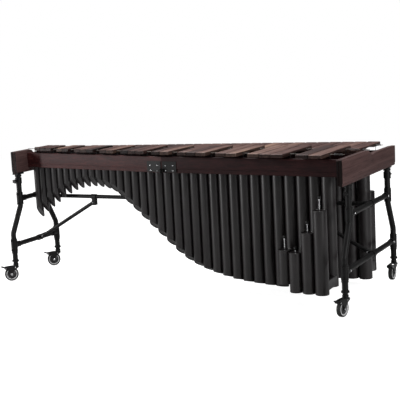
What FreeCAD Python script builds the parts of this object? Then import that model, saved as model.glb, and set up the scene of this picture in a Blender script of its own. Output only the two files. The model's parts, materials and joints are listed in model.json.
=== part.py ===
# Five-octave concert marimba on a rolling, height-adjustable stand.
# +X runs from the high end to the low end, +Y from the audience side to the player side, +Z up.
# The origin is on the floor, under the centre of the instrument's outline in plan.
import FreeCAD, Part
import math
import os
import Sketcher

V = FreeCAD.Vector
doc = FreeCAD.newDocument("marimba")
UP = V(0, 0, 1)

# ---------------------------------------------------------------- driving dimensions, mm
sizes = {
    "half_length": 1325.5, "board_thick": 41,
    "plan_shift_x": 33, "plan_shift_y": 37.6,
    "low_near": -524, "low_far": 512, "high_near": -196, "high_far": 240,
    "board_foot": 774, "board_rise": 935.5, "notch_rise": 898, "far_board_rise": 906,
    "rail_foot": 808, "rail_height": 106, "rail_thick": 25, "far_rail_foot": 784, "far_rail_height": 100,
    "joint_x": -28, "near_rail_high_y": -55, "near_rail_joint_y": -262, "near_rail_low_y": -368,
    "inner_rail_thick": 13, "inner_rail_height": 40,
    "key_left": -1277, "key_pitch_high": 56, "key_pitch_gain": 34, "key_gap": 4,
    "bar_thick": 23.5, "accidental_top": 956, "natural_top": 931,
    "cord_radius": 2, "cord_hole": 3.2, "tube_wall": 2, "tube_top": 893, "tube_shift": -20,
    "near_tube_high_y": 1, "near_tube_low_y": -236, "far_tube_high_y": 137, "far_tube_low_y": 250,
    "return_radius": 43, "duct_height": 62, "duct_wall": 2, "duct_inset": 2,
    "tube_floor": 3, "lid_thick": 3,
    "post_x": 1305, "post_radius": 19, "post_bore": 16.5, "post_foot": 150, "low_kink": 347, "high_kink": 537,
    "post_head": 764, "collar_top": 742, "bend_radius": 30, "tube_gap": 0.05,
    "high_post_spread": 262, "high_post_head": 154, "low_post_spread": 486, "low_post_head": 384,
    "low_crossbar_z": 262, "high_crossbar_z": 589, "crossbar_radius": 17.5, "tee_outer": 23.5, "tee_reach": 62,
    "brace_y": 48, "brace_z": 583, "brace_radius": 14, "diagonal_radius": 13,
    "hanger_x": 789, "hanger_drop": 34,
    "wheel_radius": 50, "tyre_width": 28, "hub_radius": 39.5, "trail": 35, "axle_radius": 5, "running_gap": 0.05,
    "tyre_shoulder": 7, "hub_half": 13, "head_radius": 20, "stem_radius": 8, "head_low": 106, "head_high": 124,
    "piston_gap": 0.6, "piston_drop": 150, "plunger_rod": 3, "knob_radius": 11, "knob_height": 20,
}
sheet = doc.addObject("Spreadsheet::Sheet", "sizes")
for row, (alias, number) in enumerate(sizes.items(), start=1):
    sheet.set(f"A{row}", alias)
    sheet.set(f"B{row}", str(number))
    sheet.setAlias(f"B{row}", alias)
doc.recompute()


def size(alias):
    return float(sheet.get(alias))


PLAN = V(size("plan_shift_x"), size("plan_shift_y"), 0)
parts = {}


def keep(item, name, turn=0.0, place=V(0, 0, 0), inner=FreeCAD.Placement()):
    """Name a sub-part and set it down in plan."""
    item.Label = name
    item.Placement = FreeCAD.Placement(PLAN + place, FreeCAD.Rotation(UP, turn)).multiply(inner)
    parts[name] = item
    return item


def solids(name, shapes, turn=0.0, place=V(0, 0, 0)):
    """One node made of separate solids."""
    item = doc.addObject("Part::Feature", name)
    item.Shape = shapes[0] if len(shapes) == 1 else Part.makeCompound(shapes)
    return keep(item, name, turn, place)


def rod(start, end, radius):
    along = end - start
    return Part.makeCylinder(radius, along.Length, start, along)


def pipe(start, end, outer, inner):
    return rod(start, end, outer).cut(rod(start, end, inner))


def block(low, high):
    return Part.makeBox(high.x - low.x, high.y - low.y, high.z - low.z, low)


def plate_of(points, thick):
    """A flat plate: a closed outline raised by a vector."""
    return Part.Face(Part.makePolygon(points + [points[0]])).extrude(thick)


def mix(low, high, share):
    return low + (high - low) * share


def body_with_pad(name, plane, outline, pad_alias, offset=0.0, reverse=False, rounds=None):
    """A PartDesign body: a closed outline on one of its origin planes, padded by a sheet value."""
    body = doc.addObject("PartDesign::Body", name)
    sketch = body.newObject("Sketcher::SketchObject", name + "_outline")
    base = [f for f in body.Origin.OriginFeatures if f.Role == plane][0]
    sketch.AttachmentSupport = [(base, "")]
    sketch.MapMode = "FlatFace"
    sketch.AttachmentOffset = FreeCAD.Placement(V(0, 0, offset), FreeCAD.Rotation())
    last = len(outline)
    for i in range(last):
        sketch.addGeometry(Part.LineSegment(outline[i], outline[(i + 1) % last]), False)
    for i in range(last):
        sketch.addConstraint(Sketcher.Constraint("Coincident", i, 2, (i + 1) % last, 1))
    pad = body.newObject("PartDesign::Pad", name + "_pad")
    pad.Profile = sketch
    pad.setExpression("Length", f"sizes.{pad_alias}")
    pad.Reversed = reverse
    return body


def body_of_turning(name, outline, ties=()):
    """A PartDesign body turned about the upright axis from a half section of (radius, height) points.

    Each tie holds one corner's radius or height at an expression of sheet values."""
    body = doc.addObject("PartDesign::Body", name)
    sketch = body.newObject("Sketcher::SketchObject", name + "_section")
    base = [f for f in body.Origin.OriginFeatures if f.Role == "XZ_Plane"][0]
    sketch.AttachmentSupport = [(base, "")]
    sketch.MapMode = "FlatFace"
    last = len(outline)
    for i in range(last):
        sketch.addGeometry(Part.LineSegment(outline[i], outline[(i + 1) % last]), False)
    for i in range(last):
        sketch.addConstraint(Sketcher.Constraint("Coincident", i, 2, (i + 1) % last, 1))
    for corner, way, expression in ties:
        held = outline[corner].x if way == "radius" else outline[corner].y
        kind = "DistanceX" if way == "radius" else "DistanceY"
        number = sketch.addConstraint(Sketcher.Constraint(kind, -1, 1, corner, 1, held))
        sketch.setExpression(f"Constraints[{number}]", expression)
    turned = body.newObject("PartDesign::Revolution", name + "_turned")
    turned.Profile = sketch
    turned.ReferenceAxis = (sketch, ["V_Axis"])
    turned.Angle = 360
    return body


def bound_rod(name, start, along, radius_alias, length_expression):
    """A Part cylinder whose radius and length follow the sheet."""
    item = doc.addObject("Part::Cylinder", name)
    item.setExpression("Radius", f"sizes.{radius_alias}")
    item.setExpression("Height", length_expression)
    item.Placement = FreeCAD.Placement(start, FreeCAD.Rotation(UP, along))
    return item


def group(name, items):
    """One node of separate bound solids."""
    item = doc.addObject("Part::Compound", name)
    item.Links = items
    return keep(item, name)


# ---------------------------------------------------------------- the keyboard's layout
NATURALS = 36
GAPS = NATURALS - 1
# counted from the highest note: the gaps between naturals that hold an accidental
ACCIDENTAL_GAPS = [gap for gap in range(GAPS) if gap % 7 in (1, 2, 3, 5, 6)]
FOLDED = 4
JOINT = size("joint_x")
INNER = size("half_length") - size("board_thick")


def pitch(key):
    return size("key_pitch_high") + size("key_pitch_gain") * (key / GAPS) ** 1.5


def left_of(key):
    return size("key_left") + sum(pitch(k) for k in range(key))


def share_at(x):
    return (x + INNER) / (2 * INNER)


def accidental_far(x):
    return mix(80, 35, share_at(x))


def natural_near(x):
    return mix(50, 0, share_at(x))


def accidental_length(gap):
    return 156 + 10.8 * gap


def natural_length(key):
    return 175 + 9.2 * key


def bent_line(high_y, joint_y, low_y):
    """A line in plan with one bend, where the two halves of the frame meet."""
    def line(x):
        if x < JOINT:
            return mix(high_y, joint_y, (x + INNER) / (JOINT + INNER))
        return mix(joint_y, low_y, (x - JOINT) / (INNER - JOINT))
    return line


half_rail = size("rail_thick") / 2
near_rail = bent_line(size("near_rail_high_y") + half_rail, size("near_rail_joint_y") + half_rail,
                      size("near_rail_low_y") + half_rail)
accidental_inner = bent_line(43, -20, -80)
natural_inner = bent_line(88, 103, 112)
far_rail = bent_line(187, 298, 386)


def smooth(points, at):
    """A smooth curve through hand-set (place, value) points."""
    spots = [p[0] for p in points]
    for i in range(len(points) - 1):
        if at <= spots[i + 1]:
            break
    slopes = []
    for j in (i, i + 1):
        before = max(j - 1, 0)
        after = min(j + 1, len(points) - 1)
        slopes.append((points[after][1] - points[before][1]) / (points[after][0] - points[before][0]))
    span = spots[i + 1] - spots[i]
    t = (at - spots[i]) / span
    return ((2 * t**3 - 3 * t**2 + 1) * points[i][1] + (t**3 - 2 * t**2 + t) * span * slopes[0]
            + (3 * t**2 - 2 * t**3) * points[i + 1][1] + (t**3 - t**2) * span * slopes[1])


# ---------------------------------------------------------------- end boards
def end_board(name, side, near, far):
    """A board on edge; its top steps down through a shallow notch, higher on the audience side."""
    depth = far - near
    foot = size("board_foot")
    rise = size("board_rise")
    notch = size("notch_rise")
    low_rise = size("far_board_rise")
    steps = ((0, rise - 7), (0.008, rise), (0.44, rise), (0.462, rise - 3), (0.49, rise - 16), (0.515, notch + 8),
             (0.535, notch), (0.56, notch + 1.5), (0.59, low_rise - 3), (0.625, low_rise), (0.96, low_rise - 1),
             (0.985, low_rise - 5), (1, low_rise - 13))
    top = [V(near + share * depth, height) for share, height in steps]
    outline = top + [V(far, foot), V(near, foot)]
    body = body_with_pad(name, "YZ_Plane", outline, "board_thick",
                         offset=side * size("half_length"), reverse=side > 0)
    return keep(body, name)


end_board("high_end_board", -1, size("high_near"), size("high_far"))
end_board("low_end_board", 1, size("low_near"), size("low_far"))


# ---------------------------------------------------------------- rails
rail_top = size("rail_foot") + size("rail_height")
far_rail_top = size("far_rail_foot") + size("far_rail_height")


def rail_body(name, line, foot, height_alias, start, end):
    """One half of an outer rail: its plan outline padded to its height."""
    half = size("rail_thick") / 2
    outline = [V(start, line(start) - half), V(end, line(end) - half),
               V(end, line(end) + half), V(start, line(start) + half)]
    return keep(body_with_pad(name, "XY_Plane", outline, height_alias, offset=foot), name)


def rail_half(line, thick, low, high, start, end):
    """One straight half of a rail, standing on edge between two places along X."""
    half = thick / 2
    points = [V(start, line(start) - half, low), V(end, line(end) - half, low),
              V(end, line(end) + half, low), V(start, line(start) + half, low)]
    return plate_of(points, V(0, 0, high - low))


SPLIT = 0.5
for row, line, foot, height_alias in (("near", near_rail, size("rail_foot"), "rail_height"),
                                      ("far", far_rail, size("far_rail_foot"), "far_rail_height")):
    rail_body(f"{row}_rail_high", line, foot, height_alias, -INNER, JOINT - SPLIT)
    rail_body(f"{row}_rail_low", line, foot, height_alias, JOINT + SPLIT, INNER)
for name, line, top in (("accidental_inner_rail", accidental_inner, rail_top),
                        ("natural_inner_rail", natural_inner, far_rail_top)):
    args = (line, size("inner_rail_thick"), top - size("inner_rail_height"), top)
    solids(name, [rail_half(*args, -INNER, JOINT - SPLIT), rail_half(*args, JOINT + SPLIT, INNER)])


# ---------------------------------------------------------------- bars, cords and cord posts
def holed_bar(left, right, near, far, top, lines):
    """A wooden bar, hollowed underneath, with a cord hole along X at each node."""
    thick = size("bar_thick")
    length = far - near
    hollow = thick * mix(0.25, 0.5, (right - left) / 90)
    low = top - thick
    outline = [V(left, near, low), V(left, near, top), V(left, far, top), V(left, far, low)]
    scoop = [V(left, near + share * length, low + hollow * math.sin(math.pi * (share - 0.28) / 0.44))
             for share in (0.72, 0.64, 0.57, 0.5, 0.43, 0.36, 0.28)]
    bar = plate_of(outline + scoop, V(right - left, 0, 0))
    middle = top - thick / 2
    for line in lines:
        start = V(left - 1, line(left - 1), middle)
        end = V(right + 1, line(right + 1), middle)
        bar = bar.cut(rod(start, end, size("cord_hole")))
    return bar


def natural_span(key):
    half_gap = size("key_gap") / 2
    return left_of(key) + half_gap, left_of(key + 1) - half_gap


def accidental_span(gap):
    middle = left_of(gap + 1)
    width = (pitch(gap) + pitch(gap + 1)) / 2 - 5
    return middle - width / 2, middle + width / 2


natural_bars = []
for key in range(NATURALS):
    left, right = natural_span(key)
    near = natural_near((left + right) / 2)
    natural_bars.append(holed_bar(left, right, near, near + natural_length(key), size("natural_top"),
                                  (natural_inner, far_rail)))
solids("natural_bars", natural_bars)

accidental_bars = []
for gap in ACCIDENTAL_GAPS:
    left, right = accidental_span(gap)
    far = accidental_far((left + right) / 2)
    accidental_bars.append(holed_bar(left, right, far - accidental_length(gap), far, size("accidental_top"),
                                     (near_rail, accidental_inner)))
solids("accidental_bars", accidental_bars)

CORD_REACH = INNER - 4
cords = []
posts = []
accidental_middle = size("accidental_top") - size("bar_thick") / 2
natural_middle = size("natural_top") - size("bar_thick") / 2
natural_edges = [left_of(key) for key in range(NATURALS + 1)]
accidental_edges = sorted({round(edge, 1) for gap in ACCIDENTAL_GAPS
                           for edge in (accidental_span(gap)[0] - 2.5, accidental_span(gap)[1] + 2.5)})
kept_edges = [edge for i, edge in enumerate(accidental_edges)
              if i == 0 or edge - accidental_edges[i - 1] > 8]
for line, middle, rail_height, edges in (
        (near_rail, accidental_middle, rail_top, kept_edges),
        (accidental_inner, accidental_middle, rail_top, kept_edges),
        (natural_inner, natural_middle, far_rail_top, natural_edges),
        (far_rail, natural_middle, far_rail_top, natural_edges)):
    ends = [V(x, line(x), middle) for x in (-CORD_REACH, JOINT, CORD_REACH)]
    cord = rod(ends[0], ends[1], size("cord_radius"))
    knee = Part.makeSphere(size("cord_radius"), ends[1])
    cords.append(cord.fuse([knee, rod(ends[1], ends[2], size("cord_radius"))]))
    for edge in edges:
        if abs(edge) < INNER - 3:
            foot = V(edge, line(edge), rail_height)
            posts.append(rod(foot, V(edge, line(edge), middle - size("cord_radius")), 1.4))
solids("bar_cords", cords)
solids("cord_posts", posts)


# ---------------------------------------------------------------- resonators
def near_tube_line(x):
    return mix(size("near_tube_high_y"), size("near_tube_low_y"), share_at(x))


def far_tube_line(x):
    return mix(size("far_tube_high_y"), size("far_tube_low_y"), share_at(x))


NEAR_FOOT = [(0, 423), (3, 539), (6, 634), (9, 667), (12, 634), (15, 497), (18, 333), (21, 179), (25, 93),
             (29, 69), (34, 65)]
NEAR_SLANT = [(0, 88), (9, 84), (12, 70), (16, 62), (20, 60), (23, 38), (26, 20), (34, 10)]
FAR_FOOT = [(0, 848), (7, 808), (14, 738), (21, 572), (28, 246), (31, 120), (35, 74)]
tube_top = size("tube_top")
wall = size("tube_wall")


TIP_ANGLE = 78


def near_tube(gap):
    """A tube closed by an oblique foot that runs down towards its rear."""
    x = left_of(gap + 1) + size("tube_shift")
    y = near_tube_line(x)
    radius = (pitch(gap) + pitch(gap + 1)) / 4 - 0.8
    foot = smooth(NEAR_FOOT, gap)
    slant = smooth(NEAR_SLANT, gap)
    outer = Part.makeCylinder(radius, tube_top - foot, V(x, y, foot))
    reach = radius + 5
    rise = slant * reach / (2 * radius)
    away = [V(x - reach, y - reach, foot + slant / 2 + rise), V(x + reach, y - reach, foot + slant / 2 - rise),
            V(x + reach, y - reach, foot - 200), V(x - reach, y - reach, foot - 200)]
    cutter = plate_of(away, V(0, 2 * reach, 0))
    cutter.rotate(V(x, y, 0), UP, TIP_ANGLE)
    inside = Part.makeCylinder(radius - wall, tube_top - foot - slant - 6, V(x, y, foot + slant + 6))
    return outer.cut(cutter).cut(inside)


def far_tube(key):
    x = (left_of(key) + left_of(key + 1)) / 2
    y = far_tube_line(x)
    radius = pitch(key) / 2 - 0.8
    foot = smooth(FAR_FOOT, key)
    outer = Part.makeCylinder(radius, tube_top - 25 - foot, V(x, y, foot))
    return outer.cut(Part.makeCylinder(radius - wall, tube_top - 25 - foot, V(x, y, foot + 3)))


def fold_x(row, slot):
    """Where the last FOLDED tubes of a row stand, slot 1 the highest note of them."""
    if row == "near":
        return left_of(GAPS - FOLDED + slot) + size("tube_shift")
    key = NATURALS - FOLDED - 1 + slot
    return (left_of(key) + left_of(key + 1)) / 2


FOLD_TOPS = {"near": (347, 340, 468, 611), "far": (330, 380, 490, 618)}
FOLD_ROD = {"near": (68, 12, 52, 66), "far": (40, 48, 60, 52)}
# feet of the main pipes and of the return pipes, and the foot of the duct that joins each pair
MAIN_FOOT = {"near": 105, "far": 50}
RETURN_FOOT = {"near": (130, 89, 89, 89), "far": (85, 85, 85, 85)}
DUCT_FOOT = {"near": (142, 116, 116, 116), "far": (98, 98, 98, 98)}
# how far each return pipe stands from its main pipe, across the instrument
RETURN_SIDE = {"near": (-132, -158, -158, -164), "far": (92, 92, 92, 92)}
return_radius = size("return_radius")
ducts = []
for row, tube, line, count in (("near", near_tube, near_tube_line, GAPS), ("far", far_tube, far_tube_line, NATURALS)):
    straight = count - FOLDED
    tubes = [tube(i) for i in range(straight)]
    returns = []
    floor = size("tube_floor")
    for slot in range(1, FOLDED + 1):
        x = fold_x(row, slot)
        y = line(x)
        radius = (pitch(straight + slot - 1) + pitch(straight + slot)) / 4 - 0.8
        mouth = tube_top if row == "near" else tube_top - 25
        far_y = y + RETURN_SIDE[row][slot - 1]
        head = FOLD_TOPS[row][slot - 1]
        main_foot = MAIN_FOOT[row]
        foot = RETURN_FOOT[row][slot - 1]
        duct_low = DUCT_FOOT[row][slot - 1]
        duct_high = duct_low + size("duct_height")
        half = return_radius - size("duct_inset")
        skin = size("duct_wall")
        low_y, high_y = sorted((y, far_y))
        hollow = block(V(x - half + skin, low_y, duct_low + skin), V(x + half - skin, high_y, duct_high - skin))
        main = Part.makeCylinder(radius, mouth - main_foot, V(x, y, main_foot))
        main = main.cut([Part.makeCylinder(radius - wall, mouth, V(x, y, main_foot + floor)), hollow])
        tubes.append(main)
        bend = Part.makeCylinder(return_radius, head - foot, V(x, far_y, foot))
        inside = Part.makeCylinder(return_radius - wall, head - foot - floor - size("lid_thick"),
                                   V(x, far_y, foot + floor))
        lid_hole = Part.makeCylinder(3.5, 10, V(x, far_y, head - 5))
        returns.append(bend.cut([inside, lid_hole, hollow]))
        duct = block(V(x - half, low_y, duct_low), V(x + half, high_y, duct_high))
        round_main = Part.makeCylinder(radius, mouth, V(x, y, 0))
        round_return = Part.makeCylinder(return_radius, mouth, V(x, far_y, 0))
        ducts.append(duct.cut([hollow, round_main, round_return]))
        # tuning plunger: a piston in the return tube on a rod that ends in a knob
        name = f"{row}_plunger_{slot}"
        showing = FOLD_ROD[row][slot - 1]
        piston = return_radius - wall - size("piston_gap")
        drop = size("piston_drop")
        rod_radius = size("plunger_rod")
        knob = size("knob_radius")
        knob_top = showing + size("knob_height")
        outline = [V(0, -drop), V(piston, -drop), V(piston, 12 - drop), V(rod_radius, 12 - drop),
                   V(rod_radius, showing), V(knob, showing), V(knob, knob_top), V(0, knob_top)]
        ties = [(1, "radius", "sizes.return_radius - sizes.tube_wall - sizes.piston_gap"),
                (1, "height", "-sizes.piston_drop"), (3, "radius", "sizes.plunger_rod"),
                (5, "radius", "sizes.knob_radius")]
        keep(body_of_turning(name, outline, ties), name, place=V(x, far_y, head))
    solids(f"{row}_resonators", tubes)
    solids(f"{row}_return_tubes", returns)
solids("turn_ducts", ducts)

# four strips carry each pair of tube rows at their mouths
strips = []
for line, side, mouth in ((near_tube_line, -1, tube_top), (near_tube_line, 1, tube_top),
                          (far_tube_line, -1, tube_top - 25), (far_tube_line, 1, tube_top - 25)):
    def strip_line(x):
        return line(x) + side * (pitch(share_at(x) * GAPS) / 2 + 2.2)
    strips.append(rail_half(strip_line, 1.6, mouth - 26, mouth - 4, -INNER, INNER))
solids("resonator_strips", strips)


# ---------------------------------------------------------------- joint plates, bolts and latch
PLATES = ((-121, -7), (8, 116))
PLATE_THICK = 3
BOLT_HEAD = 5
plates = []
bolts = []
for line, low, high, side in ((near_rail, 812, 884, -1), (far_rail, 790, 862, 1)):
    for start, end in PLATES:
        left = JOINT + start
        right = JOINT + end
        face = side * (half_rail + 0.05)
        ends = [V(left, line(left) + face, low), V(right, line(right) + face, low)]
        out = V(0, side * PLATE_THICK, 0)
        plates.append(plate_of([ends[0], ends[1], ends[1] + V(0, 0, high - low), ends[0] + V(0, 0, high - low)],
                               out))
        for share in (0.24, 0.76):
            for drop in (0.14, 0.62):
                spot = ends[0] + (ends[1] - ends[0]) * share + V(0, 0, (high - low) * drop) + out
                away = V(0, side, 0)
                bolts.append(Part.makeCylinder(BOLT_HEAD, 4, spot + away * 1.5, away))
solids("joint_plates", plates)
solids("joint_bolts", bolts)

latch_y = near_rail(JOINT) - half_rail - 5
boss = Part.makeCylinder(13, 11, V(0, 0, 0), V(0, -1, 0))
wing = block(V(-4, -25, -17), V(4, -11, 17))
solids("frame_latch", [boss.fuse(wing)], place=V(JOINT, latch_y, size("rail_foot") + 14))


# ---------------------------------------------------------------- height tubes and board shoes
STANDS = {"near_left": (-1, -1), "far_left": (-1, 1), "near_right": (1, -1), "far_right": (1, 1)}
post_x = size("post_x")
post_radius = size("post_radius")


def spread(side_x):
    return size("low_post_spread") if side_x > 0 else size("high_post_spread")


def head_spread(side_x):
    return size("low_post_head") if side_x > 0 else size("high_post_head")


board_foot = size("board_foot")
inner_radius = size("post_bore") - size("tube_gap")
height_tubes = []
shoes = []
for side_x, side_y in STANDS.values():
    x = side_x * post_x
    y = side_y * head_spread(side_x)
    height_tubes.append(pipe(V(x, y, size("high_kink") + 45), V(x, y, board_foot - 6), inner_radius,
                             inner_radius - 2))
    # a plate under the board with a low lip along the board's inner face
    cheek = size("board_thick") / 2
    outer_x = x + side_x * cheek
    face_x = x - side_x * cheek
    lip_x = face_x - side_x * 4
    base = block(V(min(outer_x, lip_x), y - 38, board_foot - 6), V(max(outer_x, lip_x), y + 38, board_foot))
    lip = block(V(min(face_x, lip_x), y - 38, board_foot - 6), V(max(face_x, lip_x), y + 38, board_foot + 8))
    shoes.append(base.fuse(lip).removeSplitter())
solids("height_tubes", height_tubes)
solids("board_shoes", shoes)


# ---------------------------------------------------------------- bent posts
def rounded_path(points, radius):
    """Straight runs joined by tangent arcs."""
    edges = []
    start = points[0]
    for i in range(1, len(points) - 1):
        arrive = (points[i] - points[i - 1]).normalize()
        leave = (points[i + 1] - points[i]).normalize()
        turn = arrive.getAngle(leave)
        back = radius * math.tan(turn / 2)
        first = points[i] - arrive * back
        last = points[i] + leave * back
        inward = (leave - arrive).normalize()
        centre = points[i] + inward * (radius / math.cos(turn / 2))
        middle = centre - inward * radius
        edges.append(Part.LineSegment(start, first).toShape())
        edges.append(Part.Arc(first, middle, last).toShape())
        start = last
    edges.append(Part.LineSegment(start, points[-1]).toShape())
    return Part.Wire(edges)


def bent_rod(points, bend, radius):
    path = rounded_path(points, bend)
    ring = Part.Wire(Part.makeCircle(radius, points[0], points[1] - points[0]))
    return path.makePipeShell([ring], True, False)


def post(side_x, side_y):
    x = side_x * post_x
    low_y = side_y * spread(side_x)
    high_y = side_y * head_spread(side_x)
    points = [V(x, low_y, size("post_foot")), V(x, low_y, size("low_kink")), V(x, high_y, size("high_kink")),
              V(x, high_y, size("post_head"))]
    bore = size("post_bore")
    outer = bent_rod(points, size("bend_radius"), post_radius)
    head_bore = Part.makeCylinder(bore, 400, V(x, high_y, size("high_kink") + 38))
    stem_bore = Part.makeCylinder(size("stem_radius"), 40, V(x, low_y, size("post_foot")))
    return outer.cut([head_bore, stem_bore])


solids("left_posts", [post(-1, -1), post(-1, 1)])
solids("right_posts", [post(1, -1), post(1, 1)])

collars = []
COLLAR = 24
for side_x, side_y in STANDS.values():
    x = side_x * post_x
    head = V(x, side_y * head_spread(side_x), size("collar_top"))
    low = V(x, side_y * spread(side_x), 202)
    cap = V(head.x, head.y, size("post_head"))
    collar = pipe(head - V(0, 0, 42), head, COLLAR, post_radius)
    boss = rod(head - V(0, 0, 21), head + V(0, side_y * 36, -21), 9)
    collar = collar.fuse(boss.cut(rod(head - V(0, 0, 42), head, post_radius)))
    screw_hole = rod(head + V(0, side_y * (post_radius + 1), -21), head + V(0, side_y * 40, -21), 4.05)
    collars.append(collar.cut(screw_hole))
    collars.append(pipe(low, low + V(0, 0, 14), COLLAR - 2, post_radius))
    collars.append(pipe(cap - V(0, 0, 14), cap, COLLAR, post_radius))
solids("post_collars", collars)

for label, (side_x, side_y) in STANDS.items():
    outward = V(0, side_y, 0)
    grip = rod(outward * 19, outward * 33, 11)
    for lobe in range(5):
        angle = math.radians(72 * lobe)
        spot = V(10 * math.cos(angle), side_y * 19, 10 * math.sin(angle))
        grip = grip.fuse(rod(spot, spot + outward * 14, 5))
    knob = grip.fuse(rod(V(0, 0, 0), outward * 19, 4))
    y = side_y * (head_spread(side_x) + post_radius + 1.5)
    solids(f"{label}_height_knob", [knob], place=V(side_x * post_x, y, size("collar_top") - 21))


# ---------------------------------------------------------------- crossbars, tees and braces
ALONG_X = V(1, 0, 0)
ALONG_Y = V(0, 1, 0)
for label, side_x, spreads in (("left", -1, ("high_post_spread", "high_post_head")),
                               ("right", 1, ("low_post_spread", "low_post_head"))):
    bars = []
    for level, alias in zip(("low", "high"), spreads):
        half = size(alias) - post_radius - 1
        bars.append(bound_rod(f"{label}_{level}_crossbar",
                              V(side_x * post_x, -half, size(f"{level}_crossbar_z")), ALONG_Y,
                              "crossbar_radius", f"2 * (sizes.{alias} - sizes.post_radius - 1)"))
    group(f"{label}_crossbars", bars)

bar_radius = size("crossbar_radius")
tee_outer = size("tee_outer")
TEE_HALF = 44
BOLT_GAP = 35
tees = []
tee_bolts = []
for side_x, side_y in STANDS.values():
    x = side_x * post_x
    for half, z in ((spread(side_x), size("low_crossbar_z")), (head_spread(side_x), size("high_crossbar_z"))):
        y = side_y * half
        shell = Part.makeCylinder(tee_outer, 2 * TEE_HALF, V(x, y, z - TEE_HALF))
        arm = rod(V(x, y, z), V(x, y - side_y * size("tee_reach"), z), bar_radius + 4)
        tee = shell.fuse(arm)
        tee = tee.cut(Part.makeCylinder(post_radius, 2 * TEE_HALF + 2, V(x, y, z - TEE_HALF - 1)))
        tee = tee.cut(rod(V(x, y - side_y * (post_radius + 0.5), z), V(x, y - side_y * 80, z), bar_radius))
        tees.append(tee)
        outward = V(0, side_y, 0)
        for lift in (-BOLT_GAP, BOLT_GAP):
            tee_bolts.append(rod(V(x, y, z + lift) + outward * tee_outer,
                                 V(x, y, z + lift) + outward * (tee_outer + 10), 6.5))
        spot = V(x, y - side_y * (size("tee_reach") - 12), z)
        sideways = V(side_x, 0, 0)
        tee_bolts.append(rod(spot + sideways * (bar_radius + 4), spot + sideways * (bar_radius + 9), 5.5))

brace_y = size("brace_y")
brace_z = size("brace_z")
brace_radius = size("brace_radius")
reach = post_x - bar_radius - 4
braces = [bound_rod("long_brace", V(-reach, brace_y, brace_z), ALONG_X, "brace_radius",
                    "2 * (sizes.post_x - sizes.crossbar_radius - 4)")]
hanger_x = size("hanger_x")
for side_x in (-1, 1):
    foot = V(side_x * (post_x - bar_radius - 16), brace_y, size("low_crossbar_z") + 12)
    head = V(side_x * (hanger_x + 3), brace_y, brace_z - size("hanger_drop") - 6)
    diagonal = bound_rod("diagonal_brace", foot, head - foot, "diagonal_radius", f"{(head - foot).Length}")
    braces.append(diagonal)
    for z in (size("high_crossbar_z"), size("low_crossbar_z")):
        ring = rod(V(side_x * post_x, brace_y - 22, z), V(side_x * post_x, brace_y + 22, z), bar_radius + 4)
        if z > 400:
            tip = V(side_x * (post_x - 52), brace_y, brace_z)
            socket = rod(V(side_x * post_x, brace_y, brace_z), tip, brace_radius + 4)
            coupling = ring.fuse(socket)
            coupling = coupling.cut(rod(V(side_x * reach, brace_y, brace_z),
                                        V(side_x * (reach - 60), brace_y, brace_z), brace_radius))
        else:
            lean = (head - foot).normalize()
            coupling = ring.fuse(rod(V(side_x * post_x, brace_y, z + 2), foot + lean * 26,
                                     size("diagonal_radius") + 3.5))
            coupling = coupling.cut(rod(foot, foot + lean * 80, size("diagonal_radius")))
            skin_y = -size("diagonal_radius") - 3.5
            tee_bolts.append(rod(foot + V(0, skin_y, 0), foot + V(0, skin_y - 6, 0), 5.5))
        bore = rod(V(side_x * post_x, brace_y - 30, z), V(side_x * post_x, brace_y + 30, z), bar_radius)
        tees.append(coupling.cut(bore))
    saddle = rod(V(side_x * (hanger_x - 20), brace_y, brace_z), V(side_x * (hanger_x + 20), brace_y, brace_z),
                 brace_radius + 4)
    lug_low = brace_z - size("hanger_drop") - 28
    xs = sorted((side_x * (hanger_x - 15), side_x * (hanger_x + 11)))
    lug = block(V(xs[0], brace_y - 17, lug_low), V(xs[1], brace_y + 17, brace_z - 4))
    hanger = saddle.fuse(lug)
    hanger = hanger.cut(rod(V(side_x * (hanger_x - 30), brace_y, brace_z),
                            V(side_x * (hanger_x + 30), brace_y, brace_z), brace_radius))
    lean = (foot - head).normalize()
    tees.append(hanger.cut(rod(head, head + lean * 80, size("diagonal_radius"))))
    tee_bolts.append(rod(head + V(0, -17, -2), head + V(0, -22, -2), 5.5))
solids("tee_brackets", tees)
solids("tee_bolts", tee_bolts)
group("braces", braces)


# ---------------------------------------------------------------- castors
wheel_radius = size("wheel_radius")
trail = size("trail")
head_radius = size("head_radius")
gap = size("running_gap")
stem_foot = size("head_low") + 6
ARM_LOW = 16.5
ARM_HIGH = 20.5
PEDAL = V(76, 0, 95)

stems = []
for side_x, side_y in STANDS.values():
    x = side_x * post_x
    y = side_y * spread(side_x)
    flange = Part.makeCylinder(25, 10, V(x, y, size("post_foot") - 10))
    flange = flange.fuse(Part.makeCylinder(17, 16, V(x, y, size("head_high") + 2)))
    pin = Part.makeCylinder(size("stem_radius"), size("post_foot") + 38 - stem_foot, V(x, y, stem_foot))
    stems.append(flange.fuse(pin))
solids("castor_stems", stems)


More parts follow.
